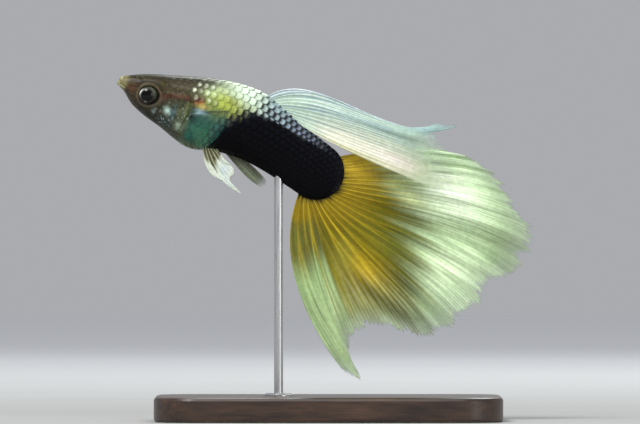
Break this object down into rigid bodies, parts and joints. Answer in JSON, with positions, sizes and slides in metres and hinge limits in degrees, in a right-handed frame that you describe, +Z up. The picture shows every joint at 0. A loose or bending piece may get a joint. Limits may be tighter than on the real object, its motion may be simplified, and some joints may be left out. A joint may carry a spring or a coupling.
{
  "type": "half-black male guppy model on a display stand",
  "caption": "Life-size still model of a fancy guppy with a spread fan tail and trailing dorsal fin, held above a flat base by one rod.",
  "frame": {"origin": "centre of the stand base's underside", "axes": "+Z up, the head points to -X, the fish's left side faces -Y"},
  "size_m": [0.0503, 0.026, 0.0419],
  "materials": {
    "head_skin": "moist fish skin, olive brown above and pale below",
    "trunk_skin": "small shining scales, yellow green to turquoise",
    "stalk_skin": "black scales with a blue grey sheen",
    "eye": "wet black eye with a dark grey iris",
    "tail_membrane": "thin rayed fin, yellow at its root and pale green white outside",
    "dorsal_membrane": "thin rayed fin, pale blue green white",
    "fin_membrane": "thin translucent rayed fins",
    "base_wood": "satin dark wood",
    "rod_metal": "fine brushed"
  },
  "bodies": {
    "root": {"head": "head_skin", "trunk": "trunk_skin", "tail_stalk": "stalk_skin", "eye_left": "eye", "eye_right": "eye", "tail_fin": "tail_membrane", "dorsal_fin": "dorsal_membrane", "pectoral_fin_left": "fin_membrane", "pectoral_fin_right": "fin_membrane", "pelvic_fin_left": "fin_membrane", "pelvic_fin_right": "fin_membrane", "gonopodium": "fin_membrane", "stand_base": "base_wood", "stand_rod": "rod_metal"}
  },
  "joints": []
}
